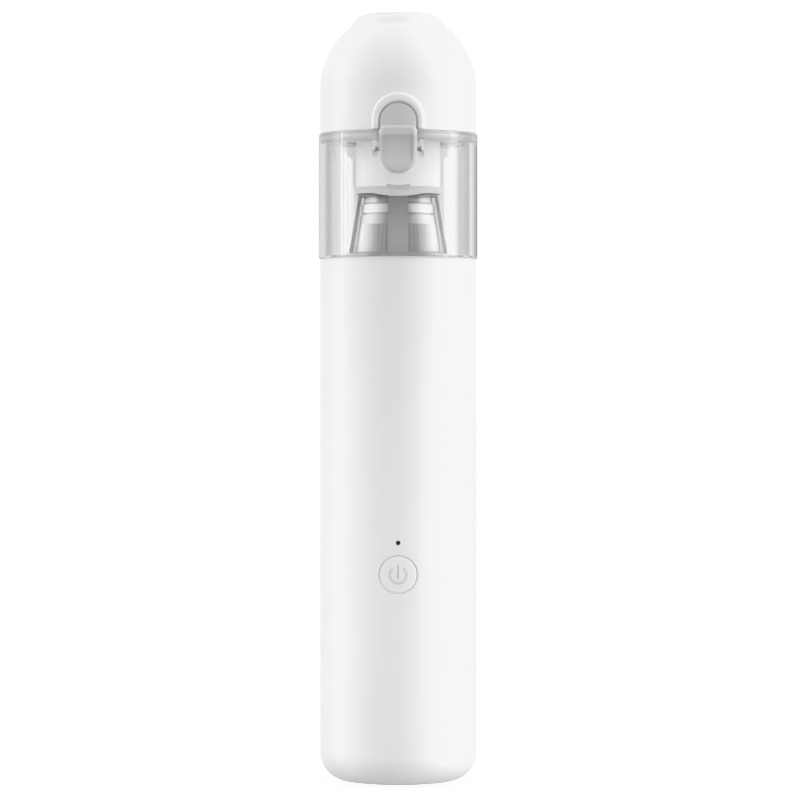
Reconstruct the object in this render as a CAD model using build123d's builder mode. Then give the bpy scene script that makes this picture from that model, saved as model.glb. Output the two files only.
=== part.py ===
"""Slim handheld vacuum cleaner: white tube body, clear dust cup, domed nozzle lid.

Millimetres. Origin at the centre of the foot, +Z up along the body,
the latch and the power button face -Y.
"""

import math
import os

from build123d import *

os.makedirs("parts", exist_ok=True)

# ------------------------------------------------------------------ dimensions
S45 = math.sqrt(0.5)

BODY_R = 27.2          # white tube, outside
BODY_IN = 25.2         # white tube, inside
BASE_Z = 0.4           # lowest face of the tube, just above the foot's face
BASE_FILLET = 10.0     # rounded lower edge of the tube
PAD_R = 14.4           # rubber foot
HOUSING_TOP = 181.9    # upper edge of the tube

CUP_R = 27.8           # clear cup, outside
CUP_IN = 25.0          # clear cup, inside
CUP_Z = 182.2          # lower edge of the clear wall
LEDGE = 0.7            # thickness of its floor ledge
RIM_Z = 225.5          # rim of the cup
NECK_R = 23.2          # neck that plugs into the body, outside
NECK_IN = 21.5         # neck, inside

DOME_Z = 225.8         # lower edge of the lid
DOME_C = 241.2         # centre of the dome's half sphere
DOME_IN = 25.2         # inside radius of the lid
COLLAR_TOP = 266.7     # top of the dome's collar
MOUTH_TOP = 267.2      # rim of the mouth
MOUTH_R = 10.8         # bore of the mouth
LINER_R = 12.3         # outside of the liner at the mouth
DUCT_R = 14.7          # outside of the liner inside the cup
DUCT_IN = 13.3
LIP_R = 15.4           # flared lip at its lower end

HINGE_Y = 29.9         # lid hinge axis
HINGE_Z = 225.6
KNUCKLE_R = 2.1
HINGE_PIN_R = 0.9

LATCH_Y = -28.6        # latch rocker axis
LATCH_Z = 218.8
LATCH_PIN_R = 0.7
LEVER_HALF = 6.25      # half width of the rocker's upper half
LEVER_C = 228.43       # centre of its round top
RECESS_R = 6.7         # recess in the lid that it lies in
FRAME_R = 9.0          # raised frame round the recess
FRAME_C = 229.2
PAD_FACE = -30.8       # foremost face of the finger pad
PAD_CORNER = 2.2       # its upper corners
SPRING_Z = 213.4       # spring behind the pad

BUTTON_Z = 73.2
BUTTON_R = 6.3         # power button
BUTTON_GAP = 0.15      # gap round it
LED_Z = 84.13
GRILLE_Z = 121.0
USB_Z = 14.5

CELL_R = 9.15          # battery cells
CELL_PITCH = 10.74     # cell axis from the body's axis
CELLS = [(0.0, CELL_PITCH), (-9.3, -5.37), (9.3, -5.37)]

BAYONET = (30.0, 150.0, 270.0)


def polar(r, deg):
    return (r * math.cos(math.radians(deg)), r * math.sin(math.radians(deg)))


# ==================================================================== main body
with BuildPart() as main_housing:
    with BuildSketch(Plane.XZ):
        with BuildLine():
            Polyline(
                (0, 1.2),
                (PAD_R + 0.3, 1.2),
                (PAD_R + 0.3, BASE_Z),
                (BODY_R - BASE_FILLET, BASE_Z),
            )
            ThreePointArc(
                (BODY_R - BASE_FILLET, BASE_Z),
                (BODY_R - BASE_FILLET * (1 - S45), BASE_Z + BASE_FILLET * (1 - S45)),
                (BODY_R, BASE_Z + BASE_FILLET),
            )
            Polyline(
                (BODY_R, BASE_Z + BASE_FILLET),
                (BODY_R, HOUSING_TOP),
                (BODY_IN, HOUSING_TOP),
                (BODY_IN, 11.0),
            )
            ThreePointArc(
                (BODY_IN, 11.0), (17.2 + 8 * S45, 11 - 8 * S45), (17.2, 3.0)
            )
            Polyline((17.2, 3.0), (0, 3.0), (0, 1.2))
        make_face()
    revolve(axis=Axis.Z)
    top_edges = main_housing.edges().filter_by(GeomType.CIRCLE).group_by(Axis.Z)[-1]
    fillet(top_edges.sort_by(SortBy.RADIUS)[-1], radius=0.35)
    # round hole for the button and small hole for the indicator, in the front
    with BuildSketch(Plane.XZ.offset(20)):
        with Locations((0, BUTTON_Z)):
            Circle(BUTTON_R + BUTTON_GAP)
        with Locations((0, LED_Z)):
            Circle(0.78)
    extrude(amount=10, mode=Mode.SUBTRACT)
    # exhaust window and charging slot, in the back
    with BuildSketch(Plane.XZ.offset(-20)):
        with Locations((0, GRILLE_Z)):
            RectangleRounded(22.0, 27.0, 4.0)
        with Locations((0, USB_Z)):
            SlotOverall(9.8, 4.0)
    extrude(amount=-10, mode=Mode.SUBTRACT)
    # screw holes in the floor, countersunk from below
    with Locations((0, 0, 1.2)):
        with PolarLocations(9.0, 3, start_angle=30):
            Cylinder(1.2, 1.8, align=(Align.CENTER, Align.CENTER, Align.MIN), mode=Mode.SUBTRACT)
            Cone(2.35, 1.2, 1.2, align=(Align.CENTER, Align.CENTER, Align.MIN), mode=Mode.SUBTRACT)
    rim = main_housing.edges().filter_by(
        lambda e: e.bounding_box().max.Y < -25.9
        and abs(e.bounding_box().center().Z - BUTTON_Z) < 0.5
        and e.length > 30
    )
    fillet(rim, radius=0.5)
main_housing.part.label = "main_housing"
export_step(main_housing.part, "parts/main_housing.step")

with BuildPart() as foot_pad:
    with BuildSketch(Plane.XY):
        Circle(PAD_R)
    extrude(amount=1.15)
    fillet(foot_pad.edges().group_by(Axis.Z)[0], radius=0.25)
    with BuildSketch(Plane.XY):
        Circle(11.2)
        Circle(10.4, mode=Mode.SUBTRACT)
        Circle(7.6)
        Circle(6.8, mode=Mode.SUBTRACT)
    extrude(amount=0.4, mode=Mode.SUBTRACT)
foot_pad.part.label = "foot_pad"
export_step(foot_pad.part, "parts/foot_pad.step")

with BuildPart() as base_screws:
    with Locations((0, 0, 1.22)):
        with PolarLocations(9.0, 3, start_angle=30):
            Cone(2.2, 1.0, 1.15, align=(Align.CENTER, Align.CENTER, Align.MIN))
            Cylinder(1.0, 6.6, align=(Align.CENTER, Align.CENTER, Align.MIN))
            Box(2.2, 0.5, 1.2, mode=Mode.SUBTRACT)
            Box(0.5, 2.2, 1.2, mode=Mode.SUBTRACT)
base_screws.part.label = "base_screws"
export_step(base_screws.part, "parts/base_screws.step")

with BuildPart() as chassis:
    # floor plate with its screw bosses
    with BuildSketch(Plane.XY.offset(3.3)):
        Circle(18.6)
    extrude(amount=2.0)
    with BuildSketch(Plane.XY.offset(5.2)):
        with PolarLocations(9.0, 3, start_angle=30):
            Circle(2.6)
    extrude(amount=4.0)
    with BuildSketch(Plane.XY.offset(3.3)):
        with PolarLocations(9.0, 3, start_angle=30):
            Circle(1.05)
    extrude(amount=6.0, mode=Mode.SUBTRACT)
    # feet of the two side rails
    with BuildSketch(Plane.XY.offset(5.0)):
        with Locations((15.75, 0), (-15.75, 0)):
            Rectangle(3.5, 11.0)
    extrude(amount=6.4)
    with BuildSketch(Plane.XY.offset(9.4)):
        with Locations((19.0, 0), (-19.0, 0)):
            Rectangle(10.0, 11.0)
    extrude(amount=2.0)
    # side rails
    with BuildSketch(Plane.XY.offset(9.4)):
        with Locations((23.0, 0), (-23.0, 0)):
            Rectangle(2.0, 11.0)
    extrude(amount=153.8)
    # ledge for the charging board
    with BuildSketch(Plane.XY.offset(9.4)):
        with Locations((0, 13.5)):
            Rectangle(18.0, 15.0)
    extrude(amount=2.0)
    with BuildSketch(Plane.XY.offset(5.0)):
        with Locations((0, 10.0)):
            Rectangle(7.0, 4.0)
    extrude(amount=5.0)
    # battery shelf and the plate over the battery
    with BuildSketch(Plane.XY.offset(19.3)):
        Circle(20.5)
        with Locations((0, 0)):
            Rectangle(46.0, 11.0)
        Circle(8.0, mode=Mode.SUBTRACT)
    extrude(amount=2.0)
    with BuildSketch(Plane.XY.offset(92.2)):
        Circle(20.5)
        Rectangle(46.0, 11.0)
        Circle(7.0, mode=Mode.SUBTRACT)
        with Locations((0, -21.0)):
            Rectangle(60.0, 12.2, mode=Mode.SUBTRACT)
    extrude(amount=2.4)
    # clips at the control board's upper edge
    with BuildSketch(Plane.XY.offset(92.2)):
        with Locations((11.3, -16.2), (-11.3, -16.2)):
            Rectangle(1.6, 4.4)
    extrude(amount=4.6)
    # standoffs for the driver board
    with BuildSketch(Plane.XY.offset(94.0)):
        with Locations((11.0, 0), (-11.0, 0)):
            Circle(1.9)
    extrude(amount=6.0)
    # ring under the motor
    with BuildSketch(Plane.XY.offset(102.6)):
        Circle(24.4)
        Circle(12.6, mode=Mode.SUBTRACT)
    extrude(amount=2.6)
    # ring under the filter deck
    with BuildSketch(Plane.XY.offset(158.6)):
        Circle(24.7)
        Circle(20.2, mode=Mode.SUBTRACT)
        with PolarLocations(21.6, 4, start_angle=45):
            Circle(1.05, mode=Mode.SUBTRACT)
    extrude(amount=4.6)
chassis.part.label = "chassis"
export_step(chassis.part, "parts/chassis.step")

with BuildPart() as filter_deck:
    with BuildSketch(Plane.XZ):
        Polygon(
            (10.0, 163.2),
            (24.9, 163.2),
            (24.9, 181.5),
            (23.6, 181.5),
            (23.6, 166.0),
            (15.6, 166.0),
            (15.6, 168.0),
            (11.6, 168.0),
            (10.0, 166.4),
        )
    revolve(axis=Axis.Z)
    # spider across the air inlet
    with BuildSketch(Plane.XY.offset(163.4)):
        Circle(4.4)
        Circle(3.2, mode=Mode.SUBTRACT)
        with PolarLocations(7.2, 6):
            Rectangle(6.4, 1.1)
    extrude(amount=1.8)
    # bayonet ledges inside the socket
    for angle in BAYONET:
        with BuildSketch(
            Plane(origin=(0, 0, 172.4), x_dir=(*polar(1, angle), 0), z_dir=(0, 0, 1))
        ):
            with BuildLine():
                ThreePointArc(polar(24.2, -20), polar(24.2, 0), polar(24.2, 20))
                Line(polar(24.2, 20), polar(21.9, 20))
                ThreePointArc(polar(21.9, 20), polar(21.9, 0), polar(21.9, -20))
                Line(polar(21.9, -20), polar(24.2, -20))
            make_face()
        extrude(amount=1.2)
    with BuildSketch(Plane.XY.offset(163.0)):
        with PolarLocations(21.6, 4, start_angle=45):
            Circle(1.1)
    extrude(amount=4.0, mode=Mode.SUBTRACT)
filter_deck.part.label = "filter_deck"
export_step(filter_deck.part, "parts/filter_deck.step")

with BuildPart() as deck_screws:
    with Locations((0, 0, 156.8)):
        with PolarLocations(21.6, 4, start_angle=45):
            Cylinder(1.0, 9.4, align=(Align.CENTER, Align.CENTER, Align.MIN))
    with Locations((0, 0, 166.02)):
        with PolarLocations(21.6, 4, start_angle=45):
            Cylinder(1.75, 1.3, align=(Align.CENTER, Align.CENTER, Align.MIN))
    with Locations((0, 0, 167.32)):
        with PolarLocations(21.6, 4, start_angle=45):
            Box(1.9, 0.45, 1.2, mode=Mode.SUBTRACT)
            Box(0.45, 1.9, 1.2, mode=Mode.SUBTRACT)
deck_screws.part.label = "deck_screws"
export_step(deck_screws.part, "parts/deck_screws.step")

# ------------------------------------------------------------------- exhaust
with BuildPart() as exhaust_grille:
    with BuildSketch(Plane.XY.offset(GRILLE_Z - 13.35)):
        Circle(BODY_R - 0.1)
        Circle(BODY_IN + 0.1, mode=Mode.SUBTRACT)
    extrude(amount=26.7)
    with BuildSketch(Plane.XZ.offset(-20)):
        with Locations((0, GRILLE_Z)):
            RectangleRounded(21.7, 26.7, 3.85)
    extrude(amount=-10, mode=Mode.INTERSECT)
    with BuildSketch(Plane.XZ.offset(-20)):
        with Locations((0, GRILLE_Z)):
            with GridLocations(0, 2.9, 1, 8):
                SlotOverall(16.5, 1.5)
    extrude(amount=-10, mode=Mode.SUBTRACT)
    # middle rib that ties the bars together
    with BuildSketch(Plane.XY.offset(GRILLE_Z - 12.0)):
        with Locations((0, 25.9)):
            Rectangle(1.6, 1.0)
    extrude(amount=24.0)
exhaust_grille.part.label = "exhaust_grille"
export_step(exhaust_grille.part, "parts/exhaust_grille.step")

with BuildPart() as exhaust_filter:
    with BuildSketch(Plane.XY.offset(GRILLE_Z - 14.5)):
        Circle(BODY_IN - 0.1)
        Circle(BODY_IN - 2.1, mode=Mode.SUBTRACT)
    extrude(amount=29.0)
    with BuildSketch(Plane.XZ.offset(-20)):
        with Locations((0, GRILLE_Z)):
            RectangleRounded(25.0, 29.0, 3.0)
    extrude(amount=-10, mode=Mode.INTERSECT)
exhaust_filter.part.label = "exhaust_filter"
export_step(exhaust_filter.part, "parts/exhaust_filter.step")

# --------------------------------------------------------------------- motor
with BuildPart() as motor_inlet_seal:
    with BuildSketch(Plane.XY.offset(160.4)):
        Circle(15.6)
        Circle(10.4, mode=Mode.SUBTRACT)
    extrude(amount=2.8)
motor_inlet_seal.part.label = "motor_inlet_seal"
export_step(motor_inlet_seal.part, "parts/motor_inlet_seal.step")

with BuildPart() as fan_shroud:
    with BuildSketch(Plane.XZ):
        Polygon(
            (9.2, 159.2),
            (15.4, 159.2),
            (18.6, 155.6),
            (18.6, 149.6),
            (19.8, 149.6),
            (19.8, 156.6),
            (16.2, 160.4),
            (9.2, 160.4),
        )
    revolve(axis=Axis.Z)
fan_shroud.part.label = "fan_shroud"
export_step(fan_shroud.part, "parts/fan_shroud.step")

with BuildPart() as impeller:
    with BuildSketch(Plane.XZ):
        Polygon(
            (1.52, 150.2),
            (16.4, 150.2),
            (16.4, 151.2),
            (6.0, 152.2),
            (3.4, 155.0),
            (2.8, 158.2),
            (1.52, 158.2),
        )
    revolve(axis=Axis.Z)
    blade = [polar(2.6 + 13.6 * t, 62.0 * t**0.8) for t in (0, 0.25, 0.5, 0.75, 1.0)]
    blade_back = [
        polar(2.6 + 13.6 * t, 62.0 * t**0.8 + math.degrees(0.85 / (2.6 + 13.6 * t)))
        for t in (1.0, 0.75, 0.5, 0.25, 0)
    ]
    with BuildSketch(Plane.XY.offset(150.8)):
        with PolarLocations(0, 9):
            Polygon(*blade, *blade_back)
    extrude(amount=6.6)
impeller.part.label = "impeller"
export_step(impeller.part, "parts/impeller.step")

with BuildPart() as motor_shaft:
    with BuildSketch(Plane.XY.offset(109.0)):
        Circle(1.5)
    extrude(amount=50.0)
    chamfer(motor_shaft.edges().filter_by(GeomType.CIRCLE), length=0.3)
motor_shaft.part.label = "motor_shaft"
export_step(motor_shaft.part, "parts/motor_shaft.step")

with BuildPart() as rotor_magnet:
    with BuildSketch(Plane.XY.offset(119.0)):
        Circle(5.6)
        Circle(1.52, mode=Mode.SUBTRACT)
    extrude(amount=18.0)
rotor_magnet.part.label = "rotor_magnet"
export_step(rotor_magnet.part, "parts/rotor_magnet.step")

with BuildPart() as bearing_upper:
    with BuildSketch(Plane.XY.offset(144.0)):
        Circle(4.0)
        Circle(1.56, mode=Mode.SUBTRACT)
    extrude(amount=4.0)
bearing_upper.part.label = "bearing_upper"
export_step(bearing_upper.part, "parts/bearing_upper.step")

with BuildPart() as bearing_lower:
    with BuildSketch(Plane.XY.offset(110.0)):
        Circle(4.0)
        Circle(1.56, mode=Mode.SUBTRACT)
    extrude(amount=3.0)
bearing_lower.part.label = "bearing_lower"
export_step(bearing_lower.part, "parts/bearing_lower.step")

with BuildPart() as diffuser:
    with BuildSketch(Plane.XY.offset(143.4)):
        Circle(13.1)
        Circle(4.05, mode=Mode.SUBTRACT)
        Circle(19.8)
        Circle(18.6, mode=Mode.SUBTRACT)
        Circle(13.1)
        Circle(4.05, mode=Mode.SUBTRACT)
    extrude(amount=6.0)
    with BuildSketch(Plane.XY.offset(144.0)):
        with PolarLocations(15.85, 11):
            Rectangle(6.2, 0.9, rotation=28)
    extrude(amount=5.0)
    with BuildSketch(Plane.XY.offset(149.3)):
        Circle(19.8)
        Circle(18.6, mode=Mode.SUBTRACT)
    extrude(amount=0.3)
diffuser.part.label = "diffuser"
export_step(diffuser.part, "parts/diffuser.step")

with BuildPart() as motor_can:
    with BuildSketch(Plane.XY.offset(113.2)):
        Circle(13.1)
        Circle(11.9, mode=Mode.SUBTRACT)
    extrude(amount=30.2)
    with BuildSketch(Plane.XZ.offset(20)):
        with Locations((0, 139.2)):
            SlotOverall(9.0, 3.4)
    extrude(amount=-40, mode=Mode.SUBTRACT)
    with BuildSketch(Plane.YZ.offset(20)):
        with Locations((0, 139.2)):
            SlotOverall(9.0, 3.4)
    extrude(amount=-40, mode=Mode.SUBTRACT)
motor_can.part.label = "motor_can"
export_step(motor_can.part, "parts/motor_can.step")

with BuildPart() as stator_core:
    with BuildSketch(Plane.XY.offset(120.0)):
        Circle(11.85)
        Circle(9.9, mode=Mode.SUBTRACT)
        with PolarLocations(8.2, 6):
            Rectangle(4.4, 2.4)
        with PolarLocations(6.4, 6):
            Rectangle(0.9, 5.0)
    extrude(amount=16.0)
stator_core.part.label = "stator_core"
export_step(stator_core.part, "parts/stator_core.step")

with BuildPart() as stator_coils:
    with BuildSketch(Plane.XY.offset(118.2)):
        with PolarLocations(8.35, 6):
            Rectangle(2.6, 5.2)
    extrude(amount=19.6)
    with BuildSketch(Plane.XY.offset(119.9)):
        with PolarLocations(8.35, 6):
            Rectangle(4.6, 2.5)
    extrude(amount=16.2, mode=Mode.SUBTRACT)
    fillet(stator_coils.edges().filter_by(Axis.Z).filter_by(lambda e: e.length > 19), radius=0.5)
stator_coils.part.label = "stator_coils"
export_step(stator_coils.part, "parts/stator_coils.step")

with BuildPart() as motor_end_bell:
    with BuildSketch(Plane.XY.offset(109.4)):
        Circle(13.1)
        Circle(4.05, mode=Mode.SUBTRACT)
        with PolarLocations(8.6, 3, start_angle=90):
            SlotOverall(5.0, 3.0, rotation=90, mode=Mode.SUBTRACT)
    extrude(amount=3.8)
motor_end_bell.part.label = "motor_end_bell"
export_step(motor_end_bell.part, "parts/motor_end_bell.step")

with BuildPart() as motor_mount:
    with BuildSketch(Plane.XZ):
        Polygon(
            (11.2, 105.2),
            (16.4, 105.2),
            (16.4, 116.0),
            (13.25, 116.0),
            (13.25, 109.4),
            (11.2, 109.4),
        )
    revolve(axis=Axis.Z)
motor_mount.part.label = "motor_mount"
export_step(motor_mount.part, "parts/motor_mount.step")

with BuildPart() as driver_board:
    with BuildSketch(Plane.XY.offset(100.0)):
        Circle(13.8)
    extrude(amount=1.4)
    with BuildSketch(Plane.XY.offset(101.3)):
        with PolarLocations(8.0, 3, start_angle=30):
            Rectangle(3.2, 5.0)
    extrude(amount=1.0)
    with BuildSketch(Plane.XY.offset(95.7)):
        with Locations((3.6, 0), (-3.6, 0)):
            Circle(2.4)
    extrude(amount=4.6)
driver_board.part.label = "driver_board"
export_step(driver_board.part, "parts/driver_board.step")

with BuildPart() as motor_leads:
    with BuildSketch(Plane.XY.offset(101.4)):
        with PolarLocations(8.6, 3, start_angle=90):
            Circle(0.8)
    extrude(amount=16.4)
motor_leads.part.label = "motor_leads"
export_step(motor_leads.part, "parts/motor_leads.step")

# ------------------------------------------------------------------- battery
with BuildPart() as battery_cells:
    with BuildSketch(Plane.XY.offset(24.2)):
        with Locations(*CELLS):
            Circle(CELL_R)
    extrude(amount=64.4)
    fillet(battery_cells.edges().filter_by(GeomType.CIRCLE), radius=0.7)
    with BuildSketch(Plane.XY.offset(88.4)):
        with Locations(*CELLS):
            Circle(3.0)
    extrude(amount=0.8)
battery_cells.part.label = "battery_cells"
export_step(battery_cells.part, "parts/battery_cells.step")

with BuildPart() as battery_holder_lower:
    with BuildSketch(Plane.XY.offset(21.3)):
        Circle(20.9)
        with Locations((0, -21.1)):
            Rectangle(60, 12.0, mode=Mode.SUBTRACT)
    extrude(amount=8.0)
    with BuildSketch(Plane.XY.offset(23.3)):
        with Locations(*CELLS):
            Circle(CELL_R + 0.15)
        Circle(8.6)
    extrude(amount=7.0, mode=Mode.SUBTRACT)
battery_holder_lower.part.label = "battery_holder_lower"
export_step(battery_holder_lower.part, "parts/battery_holder_lower.step")

with BuildPart() as battery_holder_upper:
    with BuildSketch(Plane.XY.offset(84.0)):
        Circle(20.9)
        with Locations((0, -21.1)):
            Rectangle(60, 12.0, mode=Mode.SUBTRACT)
    extrude(amount=8.1)
    with BuildSketch(Plane.XY.offset(83.0)):
        with Locations(*CELLS):
            Circle(CELL_R + 0.15)
        Circle(8.6)
    extrude(amount=7.0, mode=Mode.SUBTRACT)
    with BuildSketch(Plane.XY.offset(83.0)):
        with Locations((3.6, 0), (-3.6, 0)):
            Circle(1.1)
    extrude(amount=10.0, mode=Mode.SUBTRACT)
battery_holder_upper.part.label = "battery_holder_upper"
export_step(battery_holder_upper.part, "parts/battery_holder_upper.step")

with BuildPart() as battery_tabs:
    with BuildSketch(Plane.XY.offset(23.5)):
        with Locations((0, -5.37)):
            RectangleRounded(24.0, 6.0, 1.5)
        with Locations((0, 10.74)):
            RectangleRounded(8.0, 6.0, 1.5)
    extrude(amount=0.3)
    with BuildSketch(Plane.XY.offset(89.4)):
        with Locations(Location((-4.65, 2.69), 60)):
            RectangleRounded(24.0, 6.0, 1.5)
        with Locations((9.3, -5.37)):
            RectangleRounded(8.0, 6.0, 1.5)
    extrude(amount=0.3)
battery_tabs.part.label = "battery_tabs"
export_step(battery_tabs.part, "parts/battery_tabs.step")

with BuildPart() as battery_leads:
    with BuildSketch(Plane.XY.offset(90.2)):
        with Locations((3.6, 0), (-3.6, 0)):
            Circle(0.9)
    extrude(amount=5.4)
battery_leads.part.label = "battery_leads"
export_step(battery_leads.part, "parts/battery_leads.step")

# --------------------------------------------------------------- electronics
with BuildPart() as control_board:
    with BuildSketch(Plane.XZ.offset(15.6)):
        with Locations((0, 78.5)):
            RectangleRounded(20.0, 37.0, 1.0)
    extrude(amount=1.4)
    with BuildSketch(Plane.XZ.offset(16.9)):
        with Locations((-6.0, 92.0), (6.2, 91.0), (5.8, 65.0), (-6.0, 66.0)):
            Rectangle(4.0, 3.0)
    extrude(amount=1.0)
control_board.part.label = "control_board"
export_step(control_board.part, "parts/control_board.step")

with BuildPart() as tact_switch:
    with BuildSketch(Plane.XZ.offset(17.0)):
        with Locations((0, BUTTON_Z)):
            RectangleRounded(6.0, 6.0, 0.6)
    extrude(amount=2.4)
    with BuildSketch(Plane.XZ.offset(19.3)):
        with Locations((0, BUTTON_Z)):
            Circle(1.6)
    extrude(amount=0.6)
tact_switch.part.label = "tact_switch"
export_step(tact_switch.part, "parts/tact_switch.step")

with BuildPart() as indicator_led:
    with BuildSketch(Plane.XZ.offset(17.0)):
        with Locations((0, LED_Z)):
            RectangleRounded(1.6, 1.6, 0.2)
    extrude(amount=0.8)
indicator_led.part.label = "indicator_led"
export_step(indicator_led.part, "parts/indicator_led.step")

with BuildPart() as indicator_lens:
    with BuildSketch(Plane.XZ.offset(18.2)):
        with Locations((0, LED_Z)):
            Circle(0.7)
    extrude(amount=8.9)
    with BuildSketch(Plane.XZ.offset(23.6)):
        with Locations((0, LED_Z)):
            Circle(1.8)
    extrude(amount=1.3)
    front_edge = indicator_lens.edges().filter_by(GeomType.CIRCLE).sort_by(Axis.Y)[0]
    fillet(front_edge, radius=0.25)
indicator_lens.part.label = "indicator_lens"
export_step(indicator_lens.part, "parts/indicator_lens.step")

with BuildPart() as power_button:
    # cap whose face carries on the curve of the tube
    with BuildSketch(Plane.XY.offset(BUTTON_Z - 10)):
        Circle(BODY_R)
    extrude(amount=20)
    with BuildSketch(Plane.XZ.offset(23.0)):
        with Locations((0, BUTTON_Z)):
            Circle(BUTTON_R)
    extrude(amount=10, mode=Mode.INTERSECT)
    edge = power_button.edges().filter_by(lambda e: e.bounding_box().max.Y < -25.9 and e.length > 30)
    fillet(edge, radius=0.5)
    # flange behind the wall, and the stem over the switch
    with BuildSketch(Plane.XZ.offset(22.2)):
        with Locations((0, BUTTON_Z)):
            Circle(8.0)
    extrude(amount=1.0)
    with BuildSketch(Plane.XZ.offset(20.9)):
        with Locations((0, BUTTON_Z)):
            Circle(1.5)
    extrude(amount=1.4)
power_button.part.label = "power_button"
export_step(power_button.part, "parts/power_button.step")

with BuildPart() as usb_socket:
    with BuildSketch(Plane.XZ.offset(-19.0)):
        with Locations((0, USB_Z)):
            SlotOverall(8.9, 3.2)
    extrude(amount=-7.2)
    with BuildSketch(Plane.XZ.offset(-19.8)):
        with Locations((0, USB_Z)):
            SlotOverall(8.3, 2.6)
    extrude(amount=-7.0, mode=Mode.SUBTRACT)
    with BuildSketch(Plane.XZ.offset(-19.4)):
        with Locations((0, USB_Z)):
            Rectangle(6.6, 0.7)
    extrude(amount=-5.6)
usb_socket.part.label = "usb_socket"
export_step(usb_socket.part, "parts/usb_socket.step")

with BuildPart() as usb_board:
    with BuildSketch(Plane.XY.offset(11.5)):
        with Locations((0, 14.0)):
            RectangleRounded(16.0, 15.0, 1.0)
    extrude(amount=1.3)
    with BuildSketch(Plane.XY.offset(12.7)):
        with Locations((-4.2, 9.6), (4.0, 10.4)):
            Rectangle(3.2, 3.0)
    extrude(amount=1.0)
usb_board.part.label = "usb_board"
export_step(usb_board.part, "parts/usb_board.step")

# ================================================================== filter unit
with BuildPart() as filter_base:
    with BuildSketch(Plane.XZ):
        Polygon(
            (12.0, 169.6),
            (20.9, 169.6),
            (20.9, 171.4),
            (20.1, 171.4),
            (20.1, 182.0),
            (21.1, 182.0),
            (21.1, 183.5),
            (13.6, 183.5),
            (13.6, 182.0),
            (18.5, 182.0),
            (18.5, 171.4),
            (12.0, 171.4),
        )
    revolve(axis=Axis.Z)
    for angle in BAYONET:
        with BuildSketch(
            Plane(origin=(0, 0, 169.8), x_dir=(*polar(1, angle), 0), z_dir=(0, 0, 1))
        ):
            with BuildLine():
                ThreePointArc(polar(23.1, -17), polar(23.1, 0), polar(23.1, 17))
                Line(polar(23.1, 17), polar(20.5, 17))
                ThreePointArc(polar(20.5, 17), polar(20.5, 0), polar(20.5, -17))
                Line(polar(20.5, -17), polar(23.1, -17))
            make_face()
        extrude(amount=1.6)
filter_base.part.label = "filter_base"
export_step(filter_base.part, "parts/filter_base.step")

with BuildPart() as filter_seal:
    with BuildSketch(Plane.XY.offset(168.3)):
        Circle(15.8)
        Circle(12.6, mode=Mode.SUBTRACT)
    extrude(amount=1.3)
filter_seal.part.label = "filter_seal"
export_step(filter_seal.part, "parts/filter_seal.step")

with BuildPart() as filter_cage:
    with BuildSketch(Plane.XZ):
        Polygon((17.2, 184.0), (13.9, 204.0), (13.15, 204.0), (16.45, 184.0))
    revolve(axis=Axis.Z)
    # only four struts of the cone are left
    with BuildSketch(Plane.XY.offset(180)):
        Rectangle(6.9, 40)
        Rectangle(40, 6.9)
    extrude(amount=30, mode=Mode.INTERSECT)
    with BuildSketch(Plane.XZ):
        Polygon((13.7, 183.5), (17.4, 183.5), (17.3, 184.2), (13.7, 184.2))
    revolve(axis=Axis.Z)
    with BuildSketch(Plane.XZ):
        Polygon((0, 203.7), (13.9, 203.7), (13.85, 204.1), (13.45, 204.5), (0, 204.5))
    revolve(axis=Axis.Z)
filter_cage.part.label = "filter_cage"
export_step(filter_cage.part, "parts/filter_cage.step")

PLEATS = 60


def pleat_ring(crest, valley):
    return [
        polar(crest if k % 2 == 0 else valley, 180.0 * k / PLEATS) for k in range(2 * PLEATS)
    ]


with BuildPart() as filter_media:
    with BuildSketch(Plane.XY.offset(184.3)):
        Polygon(*pleat_ring(14.75, 14.63))
    with BuildSketch(Plane.XY.offset(194.0)):
        Polygon(*pleat_ring(13.4, 13.28))
    loft(ruled=True)
    with BuildSketch(Plane.XZ):
        Polygon((0, 184.0), (13.2, 184.0), (11.8, 195.0), (0, 195.0))
    revolve(axis=Axis.Z, mode=Mode.SUBTRACT)
filter_media.part.label = "filter_media"
export_step(filter_media.part, "parts/filter_media.step")

with BuildPart() as filter_collar:
    with BuildSketch(Plane.XZ):
        Polygon(
            (7.0, 194.0),
            (13.3, 194.0),
            (13.0, 197.2),
            (12.0, 197.35),
            (12.0, 197.75),
            (12.7, 197.9),
            (12.55, 200.7),
            (11.9, 201.3),
            (7.0, 201.3),
        )
    revolve(axis=Axis.Z)
filter_collar.part.label = "filter_collar"
export_step(filter_collar.part, "parts/filter_collar.step")

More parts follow.
